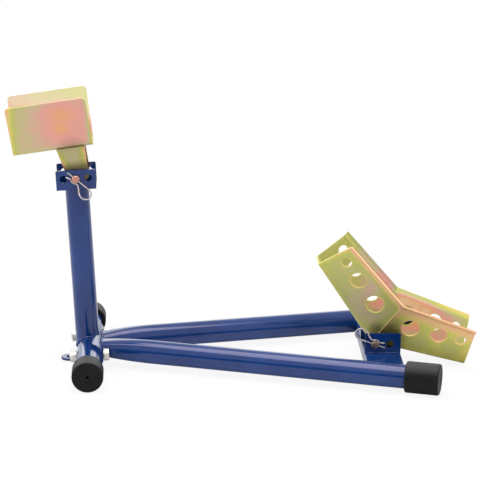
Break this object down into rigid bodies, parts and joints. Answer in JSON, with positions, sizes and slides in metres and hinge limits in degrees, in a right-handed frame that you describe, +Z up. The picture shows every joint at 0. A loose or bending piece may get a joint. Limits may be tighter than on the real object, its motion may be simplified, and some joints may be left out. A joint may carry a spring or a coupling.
{
  "type": "motorcycle wheel chock stand",
  "caption": "Low tubular paddock stand that holds a motorcycle upright by one wheel: a rocking V cradle takes the tyre and a splayed trough on a post stops it.",
  "frame": {"origin": "centre of the whole stand's box, on the floor", "axes": "+X from the wheel stop toward the cradle, +Y to the left seen from the wheel stop's end, +Z up"},
  "size_m": [0.7551, 0.3838, 0.4445],
  "materials": {
    "blue_coat": "glossy powder coat",
    "yellow_zinc": "yellow passivated zinc, satin and iridescent",
    "pin_zinc": "yellow passivated zinc",
    "clip_wire": "bright zinc wire",
    "bright_zinc": "bright zinc",
    "rubber_cap": "matt moulded rubber"
  },
  "bodies": {
    "frame": {"cross_tube": "blue_coat", "post_tube": "blue_coat", "post_head": "blue_coat", "floor_lug": "blue_coat", "joint_saddle": "blue_coat", "side_tube_left": "blue_coat", "side_tube_right": "blue_coat", "rear_member": "blue_coat", "cradle_cheek_left": "blue_coat", "cradle_cheek_right": "blue_coat", "front_cap_left": "rubber_cap", "front_cap_right": "rubber_cap", "rear_cap_left": "rubber_cap", "rear_cap_right": "rubber_cap", "joint_bolts": "bright_zinc", "joint_washers": "bright_zinc", "joint_nuts": "bright_zinc"},
    "wheel_stop": {"wheel_stop_trough": "yellow_zinc", "wheel_stop_tang": "yellow_zinc"},
    "cradle": {"cradle_front_leg": "yellow_zinc", "cradle_rear_leg": "yellow_zinc", "cradle_sleeve": "yellow_zinc"},
    "stop_pin": {"wheel_stop_pin": "pin_zinc", "wheel_stop_clip": "clip_wire"},
    "rocker_pin": {"cradle_pin": "pin_zinc", "cradle_clip": "clip_wire"}
  },
  "joints": [
    {"name": "wheel_stop_tilt", "type": "hinge", "parent": "frame", "child": "wheel_stop", "pos_m": [-0.26705, 0, 0.30931], "axis": [0, 1, 0], "range_deg": [0, 45]},
    {"name": "cradle_rock", "type": "hinge", "parent": "frame", "child": "cradle", "pos_m": [0.21454, 0, 0.042], "axis": [0, -1, 0], "range_deg": [0, 68]},
    {"name": "wheel_stop_pin_turn", "type": "hinge", "parent": "frame", "child": "stop_pin", "pos_m": [-0.26705, 0, 0.30931], "axis": [0, 1, 0], "continuous": true},
    {"name": "cradle_pin_turn", "type": "hinge", "parent": "frame", "child": "rocker_pin", "pos_m": [0.21454, 0, 0.042], "axis": [0, 1, 0], "range_deg": [-45, 28]}
  ]
}
